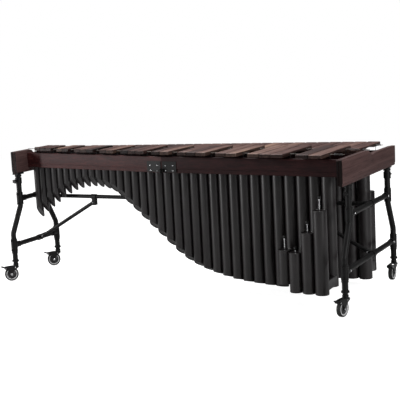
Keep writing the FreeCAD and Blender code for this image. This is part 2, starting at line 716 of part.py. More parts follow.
def fork_shape():
    """Swivel head, crown, two arms and the axle between them, trailing along +X."""
    head = Part.makeCylinder(head_radius, size("head_high") - size("head_low"), V(0, 0, size("head_low")))
    crown = block(V(-19, -ARM_HIGH, 103.5), V(26, ARM_HIGH, 109))
    shape = head.fuse(crown)
    side = [V(-19, 0, 109), V(26, 0, 109), V(84, 0, 104), V(84, 0, 90), V(66, 0, 84), V(46, 0, 64),
            V(45, 0, 40), V(25, 0, 40), V(22, 0, 62), V(-14, 0, 94)]
    for start in (-ARM_HIGH, ARM_LOW):
        outline = [p + V(0, start, 0) for p in side]
        shape = shape.fuse(plate_of(outline, V(0, ARM_HIGH - ARM_LOW, 0)))
    axle = rod(V(trail, -ARM_HIGH - 4, wheel_radius), V(trail, ARM_HIGH + 4, wheel_radius), size("axle_radius"))
    pedal_pin = rod(PEDAL + V(0, -ARM_HIGH, 0), PEDAL + V(0, ARM_HIGH, 0), 3)
    shape = shape.fuse([axle, pedal_pin])
    return shape.cut(Part.makeCylinder(size("stem_radius") + gap, 40, V(0, 0, stem_foot - 1)))


def hub_body(name):
    """A hub with a shallow ring-shaped recess in each side, bored for the axle."""
    bore = size("axle_radius") + gap
    outer = size("hub_radius")
    half = size("hub_half")
    outline = [V(bore, -half), V(14, -half), V(14, 4 - half), V(outer - 6, 4 - half), V(outer - 6, -half),
               V(outer, -half), V(outer, half), V(outer - 6, half), V(outer - 6, half - 4), V(14, half - 4),
               V(14, half), V(bore, half)]
    ties = [(0, "radius", "sizes.axle_radius + sizes.running_gap"), (5, "radius", "sizes.hub_radius"),
            (5, "height", "-sizes.hub_half"), (6, "height", "sizes.hub_half")]
    return body_of_turning(name, outline, ties)


def tyre_body(name):
    """A rounded tyre that fits the hub."""
    half = size("tyre_width") / 2
    outline = [V(size("hub_radius"), -half), V(wheel_radius, -half), V(wheel_radius, half),
               V(size("hub_radius"), half)]
    ties = [(0, "radius", "sizes.hub_radius"), (1, "radius", "sizes.wheel_radius"),
            (1, "height", "-sizes.tyre_width / 2"), (2, "height", "sizes.tyre_width / 2")]
    body = body_of_turning(name, outline, ties)
    doc.recompute()
    turned = body.Tip
    rims = [f"Edge{i}" for i, edge in enumerate(turned.Shape.Edges, start=1)
            if abs(edge.Length - 2 * math.pi * wheel_radius) < 1]
    rounded = body.newObject("PartDesign::Fillet", name + "_shoulders")
    rounded.Base = (turned, rims)
    rounded.setExpression("Radius", "sizes.tyre_shoulder")
    return body


def pedal_shape():
    """Brake pedal hinged between the fork's arms."""
    barrel = rod(PEDAL + V(0, -ARM_LOW + 0.6, 0), PEDAL + V(0, ARM_LOW - 0.6, 0), 6.5)
    outline = [PEDAL + V(0, -15, 3), PEDAL + V(27, -15, 14), PEDAL + V(32, -15, 14), PEDAL + V(32, -15, 10),
               PEDAL + V(4, -15, -4)]
    tongue = plate_of(outline, V(0, 30, 0))
    shape = barrel.fuse(tongue)
    return shape.cut(rod(PEDAL + V(0, -30, 0), PEDAL + V(0, 30, 0), 3 + gap))


TRAIL_ANGLE = {"near_left": 220, "far_left": 220, "near_right": 256, "far_right": 267}
for label, (side_x, side_y) in STANDS.items():
    spot = V(side_x * post_x, side_y * spread(side_x), 0)
    turn = TRAIL_ANGLE[label]
    on_axle = FreeCAD.Placement(V(trail, 0, wheel_radius), FreeCAD.Rotation(ALONG_X, 90))
    solids(f"{label}_fork", [fork_shape()], turn=turn, place=spot)
    keep(hub_body(f"{label}_hub"), f"{label}_hub", turn, spot, on_axle)
    keep(tyre_body(f"{label}_tyre"), f"{label}_tyre", turn, spot, on_axle)
    solids(f"{label}_brake_pedal", [pedal_shape()], turn=turn, place=spot)

# ---------------------------------------------------------------- check and write
doc.recompute()
faults = [item.Name for item in doc.Objects if "Invalid" in item.State or "Error" in item.State]
whole = FreeCAD.BoundBox()
for name, item in parts.items():
    if item.Shape.isNull() or not item.Shape.isValid():
        faults.append(name)
    whole.add(item.Shape.BoundBox)
if faults:
    raise SystemExit("failed sub-parts: " + ", ".join(faults))
os.makedirs("parts", exist_ok=True)
for name, item in parts.items():
    item.Shape.exportStep(os.path.join("parts", name + ".step"))
print(len(parts), "sub-parts, box", [round(v, 2) for v in (whole.XMin, whole.YMin, whole.ZMin, whole.XMax,
                                                          whole.YMax, whole.ZMax)])
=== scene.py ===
import json
import math
import random
import bmesh
import bpy
from mathutils import Matrix, Vector


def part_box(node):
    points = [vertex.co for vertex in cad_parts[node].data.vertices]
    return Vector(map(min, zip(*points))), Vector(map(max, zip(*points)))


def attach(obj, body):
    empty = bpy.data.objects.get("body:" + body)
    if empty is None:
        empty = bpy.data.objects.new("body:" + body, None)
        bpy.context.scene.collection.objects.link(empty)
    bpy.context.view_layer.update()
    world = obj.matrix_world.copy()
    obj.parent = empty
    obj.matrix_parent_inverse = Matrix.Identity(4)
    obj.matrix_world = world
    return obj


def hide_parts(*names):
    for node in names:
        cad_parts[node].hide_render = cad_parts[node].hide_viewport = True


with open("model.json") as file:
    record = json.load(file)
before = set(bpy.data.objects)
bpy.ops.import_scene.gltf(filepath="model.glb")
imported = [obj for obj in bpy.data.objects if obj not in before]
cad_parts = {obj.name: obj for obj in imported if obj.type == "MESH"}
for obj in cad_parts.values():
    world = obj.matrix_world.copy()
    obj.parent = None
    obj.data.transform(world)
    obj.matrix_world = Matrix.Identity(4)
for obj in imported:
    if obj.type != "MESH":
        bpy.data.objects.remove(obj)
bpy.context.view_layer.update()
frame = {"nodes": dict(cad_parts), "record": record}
nodes = frame["nodes"]
random.seed(7)
print("frame loaded:", len(nodes), "nodes")

# where the keyboard's own middle lies in the frame
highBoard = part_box("high_end_board")
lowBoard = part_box("low_end_board")
middle = Vector(((highBoard[0].x + lowBoard[1].x) / 2, (lowBoard[0].y + lowBoard[1].y) / 2 + .006, 0))


def mix(low, high, share):
    return low + (high - low) * share


# small mesh workshop: a heap gathers points, faces and a shade for each face
def newHeap():
    return {"verts": [], "faces": [], "tone": []}


def loft(heap, rings, tone=.5, closed=False):
    # skin between rings of equal count; the ends are capped, or joined when closed
    count = len(rings[0])
    faces = []
    spans = len(rings) if closed else len(rings) - 1
    for r in range(spans):
        a = r * count
        b = (r + 1) % len(rings) * count
        faces += [[a + i, a + (i + 1) % count, b + (i + 1) % count, b + i] for i in range(count)]
    if not closed:
        faces += [list(range(count))[::-1], [(len(rings) - 1) * count + i for i in range(count)]]
    start = len(heap["verts"])
    heap["verts"] += [spot for ring in rings for spot in ring]
    heap["faces"] += [[start + i for i in face] for face in faces]
    heap["tone"] += [tone] * len(faces)


def around(centre, side, up, radius, count):
    steps = [math.tau * i / count for i in range(count)]
    return [centre + (side * math.cos(a) + up * math.sin(a)) * radius for a in steps]


def ringAt(centre, direction, radius, count):
    forward = Vector(direction).normalized()
    side = forward.orthogonal().normalized()
    return around(centre, side, forward.cross(side), radius, count)


def lathe(heap, centre, direction, profile, count):
    # profile holds (distance along, radius) pairs
    forward = Vector(direction).normalized()
    loft(heap, [ringAt(centre + forward * along, direction, radius, count) for along, radius in profile])


def tubeAlong(heap, path, radius, count):
    rings = []
    side = None
    for i, spot in enumerate(path):
        before = path[max(i - 1, 0)]
        after = path[min(i + 1, len(path) - 1)]
        forward = (after - before).normalized()
        if side is None:
            side = forward.orthogonal()
        side = (side - forward * side.dot(forward)).normalized()
        rings.append(around(spot, side, forward.cross(side), radius, count))
    loft(heap, rings)


def block(heap, low, high, edge):
    # a box with softened edges
    rings = []
    for z, inset in ((low[2], edge), (low[2] + edge, 0), (high[2] - edge, 0), (high[2], edge)):
        x0 = low[0] + inset
        x1 = high[0] - inset
        y0 = low[1] + inset
        y1 = high[1] - inset
        outline = [(x0 + edge, y0), (x1 - edge, y0), (x1, y0 + edge), (x1, y1 - edge),
                   (x1 - edge, y1), (x0 + edge, y1), (x0, y1 - edge), (x0, y0 + edge)]
        rings.append([Vector((x, y, z)) for x, y in outline])
    loft(heap, rings)


def bareMesh(name, heap, sharp=35):
    mesh = bpy.data.meshes.new(name)
    mesh.from_pydata([tuple(v) for v in heap["verts"]], [], heap["faces"])
    work = bmesh.new()
    work.from_mesh(mesh)
    bmesh.ops.recalc_face_normals(work, faces=work.faces)
    work.to_mesh(mesh)
    work.free()
    mesh.shade_smooth()
    mesh.set_sharp_from_angle(angle=math.radians(sharp))
    return mesh


def addObject(name, data):
    thing = bpy.data.objects.new(name, data)
    bpy.context.scene.collection.objects.link(thing)
    return thing


def makePiece(name, heap, finish, body, replaced=(), sharp=35):
    mesh = bareMesh(name, heap, sharp)
    tone = mesh.attributes.new("tone", "FLOAT", "FACE")
    tone.data.foreach_set("value", heap["tone"])
    mesh.materials.append(finish)
    settle(addObject(name, mesh), body, replaced)


def settle(piece, body, replaced):
    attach(piece, body)
    if replaced:
        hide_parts(*replaced)


# finishes
def newFinish(name):
    finish = bpy.data.materials.new(name)
    finish.use_nodes = True
    return finish, finish.node_tree, finish.node_tree.nodes["Principled BSDF"]


def put(tree, kind, sockets=None, **settings):
    node = tree.nodes.new("ShaderNode" + kind)
    for key, value in settings.items():
        setattr(node, key, value)
    for key, value in (sockets or {}).items():
        if isinstance(value, bpy.types.NodeSocket):
            tree.links.new(value, node.inputs[key])
        else:
            node.inputs[key].default_value = value
    return node


def ramp(tree, fac, stops):
    node = put(tree, "ValToRGB", {"Fac": fac})
    while len(node.color_ramp.elements) < len(stops):
        node.color_ramp.elements.new(.5)
    for element, (place, colour) in zip(node.color_ramp.elements, stops):
        element.position = place
        element.color = (*colour, 1)
    return node.outputs["Color"]


def spread(tree, value, low, high):
    node = put(tree, "MapRange", {"Value": value, "To Min": low, "To Max": high})
    return node.outputs["Result"]


def bump(tree, shader, height, strength, distance):
    node = put(tree, "Bump", {"Height": height, "Strength": strength, "Distance": distance})
    tree.links.new(node.outputs["Normal"], shader.inputs["Normal"])


woodSizes = {
    "barGrain": (150, 5, 150),      # stretch of the streaks, across and along a bar
    "railGrain": (3.5, 160, 160),
    "boardGrain": (160, 3.5, 160),
}


def woodFinish(name, stretch, stops, gloss, toneShare, specular, axis="Z", across=1, along=1):
    # streaky stained wood; across and along are painted shade, darkening the faces square to an axis and
    # those that look along it
    finish, tree, shader = newFinish(name)
    place = put(tree, "TexCoord").outputs["Object"]
    tone = put(tree, "Attribute", attribute_name="tone").outputs["Fac"]
    apart = put(tree, "Math", {0: tone, 1: 13.7}, operation="MULTIPLY").outputs[0]
    shift = put(tree, "CombineXYZ", {"X": apart, "Y": apart})
    moved = put(tree, "VectorMath", {0: place, 1: shift.outputs[0]}, operation="ADD").outputs[0]
    grain = put(tree, "Mapping", {"Vector": moved, "Scale": stretch}).outputs[0]
    streak = put(tree, "TexNoise", {"Vector": grain, "Scale": .62, "Detail": 6, "Roughness": .62,
                                    "Distortion": .5}).outputs["Fac"]
    broad = put(tree, "Mapping", {"Vector": moved, "Scale": tuple(s * .16 for s in stretch)}).outputs[0]
    figure = put(tree, "TexNoise", {"Vector": broad, "Scale": 1, "Detail": 3,
                                    "Distortion": 1.2}).outputs["Fac"]
    blend = put(tree, "Math", {0: streak, 1: .58}, operation="MULTIPLY").outputs[0]
    blend = put(tree, "Math", {0: figure, 1: .42, 2: blend}, operation="MULTIPLY_ADD").outputs[0]
    lean = put(tree, "Math", {0: tone, 1: .5}, operation="SUBTRACT").outputs[0]
    blend = put(tree, "Math", {0: lean, 1: toneShare, 2: blend}, operation="MULTIPLY_ADD").outputs[0]
    colour = ramp(tree, blend, stops)
    pores = put(tree, "TexNoise", {"Vector": grain, "Scale": 2.4, "Detail": 2}).outputs["Fac"]
    poreMask = put(tree, "MapRange", {"Value": pores, "From Min": .3, "From Max": .46, "To Min": .5,
                                      "To Max": 1}).outputs["Result"]
    # painted shade: the colour is darkened by which way a face turns, not by the wood
    facing = put(tree, "NewGeometry").outputs["Normal"]
    toward = put(tree, "SeparateXYZ", {0: facing}).outputs[axis]
    toward = put(tree, "Math", {0: toward}, operation="ABSOLUTE").outputs[0]
    paintedShadeByFacing = put(tree, "MapRange", {"Value": toward, "From Min": .35, "From Max": .85, "To Min": across,
                                         "To Max": along}).outputs["Result"]
    share = put(tree, "Math", {0: poreMask, 1: paintedShadeByFacing}, operation="MULTIPLY").outputs[0]
    shaded = put(tree, "VectorMath", {0: colour, "Scale": share}, operation="SCALE").outputs[0]
    tree.links.new(shaded, shader.inputs["Base Color"])
    tree.links.new(spread(tree, streak, gloss - .07, gloss + .1), shader.inputs["Roughness"])
    shader.inputs["Specular IOR Level"].default_value = specular
    bump(tree, shader, poreMask, .35, .0006)
    return finish


def paintFinish(name, colour, gloss, speckle, strength, specular=.5, dust=.35):
    # a sprayed or moulded finish with fine texture, cloudy gloss and a little dust
    finish, tree, shader = newFinish(name)
    place = put(tree, "TexCoord").outputs["Object"]
    fine = put(tree, "TexNoise", {"Vector": place, "Scale": speckle, "Detail": 2,
                                  "Roughness": .5}).outputs["Fac"]
    cloud = put(tree, "TexNoise", {"Vector": place, "Scale": 9, "Detail": 5, "Roughness": .65}).outputs["Fac"]
    light = tuple(min(1, c * (1 + dust) + .004 * dust) for c in colour)
    deep = tuple(c * (1 - dust * .5) for c in colour)
    tree.links.new(ramp(tree, cloud, [(.32, deep), (.52, colour), (.75, light)]), shader.inputs["Base Color"])
    tree.links.new(spread(tree, cloud, gloss - .08, gloss + .1), shader.inputs["Roughness"])
    shader.inputs["Specular IOR Level"].default_value = specular
    bump(tree, shader, fine, strength, .0004)
    return finish


def brushedFinish(name, colour, gloss, stretch):
    # bare metal with fine drawn lines
    finish, tree, shader = newFinish(name)
    place = put(tree, "TexCoord").outputs["Object"]
    lines = put(tree, "Mapping", {"Vector": place, "Scale": stretch}).outputs[0]
    brush = put(tree, "TexNoise", {"Vector": lines, "Scale": 40, "Detail": 3, "Roughness": .6}).outputs["Fac"]
    deep = tuple(c * .8 for c in colour)
    tree.links.new(ramp(tree, brush, [(.3, deep), (.7, colour)]), shader.inputs["Base Color"])
    tree.links.new(spread(tree, brush, gloss - .06, gloss + .1), shader.inputs["Roughness"])
    shader.inputs["Metallic"].default_value = 1
    bump(tree, shader, brush, .2, .0002)
    return finish


def cordFinish(name):
    # twisted fibre
    finish, tree, shader = newFinish(name)
    place = put(tree, "TexCoord").outputs["Object"]
    twist = put(tree, "TexWave", {"Vector": place, "Scale": 260, "Distortion": 1.5, "Detail": 2},
                wave_type="BANDS", bands_direction="DIAGONAL").outputs["Fac"]
    fibre = ramp(tree, twist, [(.2, (.05, .043, .038)), (.8, (.20, .18, .16))])
    tree.links.new(fibre, shader.inputs["Base Color"])
    shader.inputs["Roughness"].default_value = .8
    shader.inputs["Sheen Weight"].default_value = .3
    bump(tree, shader, twist, .6, .0008)
    return finish


# the bars' sides and ends get painted shade, .30 of the top's colour
barWood = woodFinish("rosewoodBars", woodSizes["barGrain"],
                     [(.30, (.016, .006, .0055)), (.44, (.055, .022, .019)), (.54, (.12, .062, .052)),
                      (.66, (.21, .125, .098)), (.80, (.33, .20, .125))], .40, .42, .26, "Z", .30, 1)
railWood = woodFinish("railStain", woodSizes["railGrain"],
                      [(.30, (.014, .0024, .0028)), (.5, (.030, .0066, .0070)), (.72, (.074, .022, .021))],
                      .48, .75, .14)
# the boards' near and far ends get painted shade, .10 of the face's colour
boardWood = woodFinish("boardStain", woodSizes["boardGrain"],
                       [(.30, (.036, .018, .017)), (.5, (.068, .037, .035)), (.72, (.11, .064, .060))],
                       .52, .2, .12, "Y", 1, .10)
tubePaint = paintFinish("tubePaint", (.0125, .0100, .0106), .32, 900, .12)
standPaint = paintFinish("standPowderCoat", (.0032, .0029, .0031), .48, 1400, .35, specular=.22)
castorPaint = paintFinish("castorPaint", (.0042, .0040, .0042), .42, 1200, .25, specular=.3)
tyreRubber = paintFinish("tyreRubber", (.012, .0118, .0115), .68, 700, .4, dust=.6)
hubGrey = paintFinish("hubRingGrey", (.80, .80, .81), .35, 800, .15, dust=.1)
hubBlack = paintFinish("hubBlack", (.014, .014, .015), .4, 900, .2)
knobPlastic = paintFinish("knobPlastic", (.004, .004, .004), .45, 1100, .3, specular=.3)
feltBlack = paintFinish("postInsulation", (.015, .014, .014), .75, 1500, .6)
steelBright = brushedFinish("steelBright", (.78, .78, .80), .24, (1, 1, 6))
steelDull = brushedFinish("steelDull", (.14, .14, .145), .45, (1, 1, 1))
cordTwist = cordFinish("cordTwist")
print("finishes made")

# layout of the keyboard, the same rules as the solids, in metres
keys = {
    "naturals": 36, "innerHalf": 1.2845, "joint": -.028, "leftEdge": -1.277, "pitchHigh": .056,
    "pitchGain": .034, "barThick": .0235, "naturalTop": .931, "accidentalTop": .956,
}
gaps = keys["naturals"] - 1
accidentalGaps = [gap for gap in range(gaps) if gap % 7 in (1, 2, 3, 5, 6)]


def pitch(key):
    return keys["pitchHigh"] + keys["pitchGain"] * (key / gaps) ** 1.5


def leftOf(key):
    return keys["leftEdge"] + sum(pitch(k) for k in range(key))


def shareAt(x):
    return (x + keys["innerHalf"]) / (2 * keys["innerHalf"])


def bentLine(highY, jointY, lowY):
    def line(x):
        if x < keys["joint"]:
            return mix(highY, jointY, (x + keys["innerHalf"]) / (keys["joint"] + keys["innerHalf"]))
        return mix(jointY, lowY, (x - keys["joint"]) / (keys["innerHalf"] - keys["joint"]))
    return line


nearRail = bentLine(-.0425, -.2495, -.3555)
accidentalInner = bentLine(.043, -.020, -.080)
naturalInner = bentLine(.088, .103, .112)
farRail = bentLine(.187, .298, .386)


def smooth(points, at):
    # a soft curve through the points
    spots = [p[0] for p in points]
    for i in range(len(points) - 1):
        if at <= spots[i + 1]:
            break
    slopes = []
    for j in (i, i + 1):
        before = max(j - 1, 0)
        after = min(j + 1, len(points) - 1)
        slopes.append((points[after][1] - points[before][1]) / (points[after][0] - points[before][0]))
    span = spots[i + 1] - spots[i]
    t = (at - spots[i]) / span
    return ((2 * t**3 - 3 * t**2 + 1) * points[i][1] + (t**3 - 2 * t**2 + t) * span * slopes[0]
            + (3 * t**2 - 2 * t**3) * points[i + 1][1] + (t**3 - t**2) * span * slopes[1])


# bars
barShape = {"edge": .0035, "end": .003, "steps": 9, "naturalGap": .006, "accidentalGap": .005, "trim": .0008}


def barRing(left, right, y, top, low, inset):
    edge = barShape["edge"]
    x0 = left + inset
    x1 = right - inset
    high = top - inset
    ring = [(x0, low), (x0, high - edge)]
    ring += [(x0 + edge * (1 - math.cos(a)), high - edge * (1 - math.sin(a))) for a in (.4, .9)]
    ring += [(x0 + edge, high), (x1 - edge, high)]
    ring += [(x1 - edge * (1 - math.cos(a)), high - edge * (1 - math.sin(a))) for a in (.9, .4)]
    ring += [(x1, high - edge), (x1, low), (x1 - .001, low - .0006), (x0 + .001, low - .0006)]
    return [Vector((x, y, z)) + middle for x, z in ring]


def addBar(heap, left, right, near, length, top):
    thick = keys["barThick"]
    hollow = thick * mix(.25, .5, (right - left) / .09)
    tone = min(1, max(0, random.gauss(.5, .2)))
    stations = [(0, barShape["end"]), (barShape["end"] / length, .0008), (.012, 0)]
    steps = barShape["steps"]
    stations += [(.28 + .44 * i / steps, 0) for i in range(steps + 1)]
    stations += [(.988, 0), (1 - barShape["end"] / length, .0008), (1, barShape["end"])]
    rings = []
    for share, inset in stations:
        arch = hollow * max(0, math.sin(math.pi * (share - .28) / .44)) if .28 < share < .72 else 0
        low = top - thick + .0006 + arch + inset * .5
        rings.append(barRing(left, right, near + share * length, top, low, inset))
    loft(heap, rings, tone)


naturalHeap = newHeap()
for key in range(keys["naturals"]):
    left = leftOf(key) + barShape["naturalGap"] / 2
    right = leftOf(key + 1) - barShape["naturalGap"] / 2
    near = mix(.050, 0, shareAt((left + right) / 2))
    addBar(naturalHeap, left, right, near, .175 + .0092 * key, keys["naturalTop"])
makePiece("naturalBars", naturalHeap, barWood, "keyboard", ["natural_bars"])

accidentalHeap = newHeap()
accidentalSpans = []
for gap in accidentalGaps:
    width = (pitch(gap) + pitch(gap + 1)) / 2 - barShape["accidentalGap"]
    left = leftOf(gap + 1) - width / 2
    right = left + width
    far = mix(.080, .035, shareAt(left + width / 2))
    length = .156 + .0108 * gap
    accidentalSpans.append((left, right))
    trim = barShape["trim"]
    addBar(accidentalHeap, left + trim, right - trim, far - length, length, keys["accidentalTop"])
makePiece("accidentalBars", accidentalHeap, barWood, "keyboard", ["accidental_bars"])
print("bars made")

# rails
railShape = {"half": .0125, "round": .004, "lip": .027, "step": .003,
             "near": (.808, .914), "far": (.784, .884)}      # foot and top of each rail


def railProfile(side, foot, top):
    # (outward offset, height) round the section, with a stepped lower band on the outer face
    half = railShape["half"]
    r = railShape["round"]
    lip = foot + railShape["lip"]
    step = railShape["step"]
    points = [(-half, foot + .001), (-half, top - r), (-half + r * .3, top - r * .3), (-half + r, top),
              (half - r, top), (half - r * .3, top - r * .3), (half, top - r), (half, lip + .0015),
              (half - .0015, lip), (half - step, lip - .0005), (half - step, foot + .002),
              (half - step - .002, foot), (-half + .001, foot)]
    return [(side * out, z) for out, z in points]


def addRail(heap, line, side, foot, top, start, end, tone):
    rings = []
    for x in (start, end):
        rings.append([Vector((x, line(x) + out, z)) + middle for out, z in railProfile(side, foot, top)])
    loft(heap, rings, tone)


inner = keys["innerHalf"]
joint = keys["joint"]
for name, line, side in (("near", nearRail, -1), ("far", farRail, 1)):
    foot, top = railShape[name]
    # the fixed tones paint light on the high half and shade on the low half, lighter and darker than the
    # rail's own stain
    for half, start, end, tone in (("high", -inner, joint - .0005, .62), ("low", joint + .0005, inner, .35)):
        heap = newHeap()
        addRail(heap, line, side, foot, top, start, end, tone)
        makePiece(f"{name}Rail{half.title()}", heap, railWood, "keyboard",
                  [f"{name}_rail_{half}"])

# end boards, each of two layers
boardShape = {
    "thick": .041, "outerFace": 1.3255, "outerLayer": .024, "edge": .003, "band": .018, "bandStep": .0028,
    "foot": .774, "high": (-.196, .240), "low": (-.524, .512),      # near and far ends of each board
}
# the top line: share of the length from the near end, height
boardSteps = ((0, .9285), (.008, .9355), (.44, .9355), (.462, .9325), (.49, .9195), (.515, .906),
              (.535, .898), (.56, .8995), (.59, .903), (.625, .906), (.96, .905), (.985, .904), (1, .902))


def addBoardLayer(heap, side, inside, outside, near, far, trim, band, tone):
    # inside and outside are distances from the board's inner face
    edge = boardShape["edge"]
    foot = boardShape["foot"] + trim
    face = side * (boardShape["outerFace"] - boardShape["thick"])
    rings = []
    for share, height in boardSteps:
        inset = edge * .6 if share in (0, 1) else 0
        y = near + share * (far - near)
        top = height - trim
        low = foot + inset
        a = inside + inset
        b = outside - inset
        step = boardShape["bandStep"] if band else 0
        lip = foot + boardShape["band"]
        points = [(a, low + edge), (a, top - edge), (a + edge * .3, top - edge * .3), (a + edge, top),
                  (b - edge, top), (b - edge * .3, top - edge * .3), (b, top - edge), (b, lip + .0015),
                  (b - step * .5, lip), (b - step, lip - .001), (b - step, low + edge),
                  (b - step - edge * .3, low + edge * .3), (b - step - edge, low), (a + edge, low),
                  (a + edge * .3, low + edge * .3)]
        rings.append([Vector((face + side * out, y, z)) + middle for out, z in points])
    loft(heap, rings, tone)


for name, side in (("high", -1), ("low", 1)):
    near, far = boardShape[name]
    heap = newHeap()
    split = boardShape["thick"] - boardShape["outerLayer"]
    addBoardLayer(heap, side, 0, split - .0008, near + .004, far - .004, .003, False, .35)
    addBoardLayer(heap, side, split, boardShape["thick"], near, far, 0, True, .6)
    makePiece(f"{name}EndBoard", heap, boardWood, "keyboard", [f"{name}_end_board"])
print("frame wood made")

# what repeats: one tree that sets a small part on points
def repeatTree():
    tree = bpy.data.node_groups.new("setOnPoints", "GeometryNodeTree")
    face = tree.interface
    face.new_socket("Points", in_out="INPUT", socket_type="NodeSocketGeometry")
    face.new_socket("Part", in_out="INPUT", socket_type="NodeSocketObject")
    face.new_socket("Finish", in_out="INPUT", socket_type="NodeSocketMaterial")
    face.new_socket("Twist", in_out="INPUT", socket_type="NodeSocketFloat")
    face.new_socket("Seed", in_out="INPUT", socket_type="NodeSocketInt")
    face.new_socket("Geometry", in_out="OUTPUT", socket_type="NodeSocketGeometry")
    given = tree.nodes.new("NodeGroupInput")
    result = tree.nodes.new("NodeGroupOutput")
    info = tree.nodes.new("GeometryNodeObjectInfo")
    info.transform_space = "ORIGINAL"
    onPoints = tree.nodes.new("GeometryNodeInstanceOnPoints")
    aim = tree.nodes.new("GeometryNodeInputNamedAttribute")
    aim.data_type = "FLOAT_VECTOR"
    aim.inputs["Name"].default_value = "aim"
    stretch = tree.nodes.new("GeometryNodeInputNamedAttribute")
    stretch.data_type = "FLOAT_VECTOR"
    stretch.inputs["Name"].default_value = "stretch"
    align = tree.nodes.new("FunctionNodeAlignRotationToVector")
    align.axis = "Z"
    spin = tree.nodes.new("FunctionNodeRandomValue")
    spin.data_type = "FLOAT"
    turn = tree.nodes.new("FunctionNodeAxisAngleToRotation")
    turn.inputs["Axis"].default_value = (0, 0, 1)
    joined = tree.nodes.new("FunctionNodeRotateRotation")
    joined.rotation_space = "LOCAL"
    realize = tree.nodes.new("GeometryNodeRealizeInstances")
    paint = tree.nodes.new("GeometryNodeSetMaterial")
    link = tree.links.new
    link(given.outputs["Points"], onPoints.inputs["Points"])
    link(given.outputs["Part"], info.inputs["Object"])
    link(info.outputs["Geometry"], onPoints.inputs["Instance"])
    link(aim.outputs["Attribute"], align.inputs["Vector"])
    floats = [socket for socket in spin.inputs if socket.type == "VALUE"]
    link(given.outputs["Twist"], floats[1])
    floats[0].default_value = 0
    link(given.outputs["Seed"], spin.inputs["Seed"])
    values = [socket for socket in spin.outputs if socket.type == "VALUE"]
    link(values[0], turn.inputs["Angle"])
    link(align.outputs["Rotation"], joined.inputs["Rotation"])
    link(turn.outputs["Rotation"], joined.inputs["Rotate By"])
    link(joined.outputs["Rotation"], onPoints.inputs["Rotation"])
    link(stretch.outputs["Attribute"], onPoints.inputs["Scale"])
    link(onPoints.outputs["Instances"], realize.inputs["Geometry"])
    link(realize.outputs["Geometry"], paint.inputs["Geometry"])
    link(given.outputs["Finish"], paint.inputs["Material"])
    link(paint.outputs["Geometry"], result.inputs["Geometry"])
    return tree


setOnPoints = repeatTree()


def repeatPart(name, heap, spots, finish, body, replaced=(), twist=0.0, seed=3):
    # spots are (place, aim, stretch); the part points along +Z at its own origin
    part = addObject(name + "Part", bareMesh(name + "Part", heap))
    points = bpy.data.meshes.new(name + "Points")
    points.from_pydata([tuple(place) for place, aim, stretch in spots], [], [])
    for label, column in (("aim", 1), ("stretch", 2)):
        layer = points.attributes.new(label, "FLOAT_VECTOR", "POINT")
        layer.data.foreach_set("vector", [c for spot in spots for c in spot[column]])
    host = addObject(name + "Host", points)
    modifier = host.modifiers.new("set", "NODES")
    modifier.node_group = setOnPoints
    given = {"Part": part, "Finish": finish, "Twist": twist, "Seed": seed}
    for socket in setOnPoints.interface.items_tree:
        if socket.in_out == "INPUT" and socket.name in given:
            modifier[socket.identifier] = given[socket.name]
    graph = bpy.context.evaluated_depsgraph_get()
    graph.update()
    mesh = bpy.data.meshes.new_from_object(host.evaluated_get(graph), depsgraph=graph)
    host.modifiers.remove(modifier)
    mesh.name = name
    for extra in (part, host):
        bpy.data.objects.remove(extra)
    settle(addObject(name, mesh), body, replaced)


# resonator tubes
tubeShape = {
    "count": 28, "tip": math.radians(78), "shift": -.020, "wall": .002, "gap": .0008, "straightCut": .0001,
    "mouth": {"near": .893, "far": .868},
}
# (number of the tube, height) of the feet, and (number, rise) of the slanted cuts
nearFoot = [(0, .423), (3, .539), (6, .634), (9, .667), (12, .634), (15, .497), (18, .333), (21, .179),
            (25, .093), (29, .069), (34, .065)]
nearSlant = [(0, .088), (9, .084), (12, .070), (16, .062), (20, .060), (23, .038), (26, .020), (34, .010)]
farFoot = [(0, .848), (7, .808), (14, .738), (21, .572), (28, .246), (31, .120), (35, .074)]


def nearTubeLine(x):
    return mix(.001, -.236, shareAt(x))


def farTubeLine(x):
    return mix(.137, .250, shareAt(x))


def flatRing(x, y, z, radius):
    centre = Vector((x, y, z)) + middle
    return around(centre, Vector((1, 0, 0)), Vector((0, 1, 0)), radius, tubeShape["count"])


def cutRing(x, y, foot, slant, outer, radius, lift):
    # a ring on the slanted cut, lowest towards the tip angle
    ring = flatRing(x, y, 0, radius)
    for i, spot in enumerate(ring):
        a = math.tau * i / tubeShape["count"]
        spot.z = foot + slant / 2 * (1 - radius / outer * math.cos(a - tubeShape["tip"])) + lift
    return ring


def addTube(heap, x, y, radius, mouth, foot, slant, tone, lid=False):
    # a pipe whose foot is cut on the slant and closed by a set-in plate; a lid closes its mouth
    wall = tubeShape["wall"]
    floor = foot + slant + .006
    if lid:
        rings = [flatRing(x, y, mouth - .0015, .0036), flatRing(x, y, mouth - .0015, radius - .004),
                 flatRing(x, y, mouth, radius - .0036)]
    else:
        rings = [flatRing(x, y, floor, .002), flatRing(x, y, floor, radius - wall),
                 flatRing(x, y, mouth - .0006, radius - wall), flatRing(x, y, mouth, radius - wall + .0006)]
    rings += [flatRing(x, y, mouth, radius - .0006), flatRing(x, y, mouth - .0006, radius)]
    if lid:
        rings += [flatRing(x, y, mouth - .012, radius), flatRing(x, y, mouth - .0126, radius - .0007),
                  flatRing(x, y, mouth - .0140, radius - .0007), flatRing(x, y, mouth - .0146, radius)]
    rings += [cutRing(x, y, foot, slant, radius, r, lift) for r, lift in (
        (radius, .0016), (radius - .0016, 0), (radius - .0032, 0), (radius - .0038, .0045),
        (radius * .5, .0045), (.002, .0045))]
    loft(heap, rings, tone)


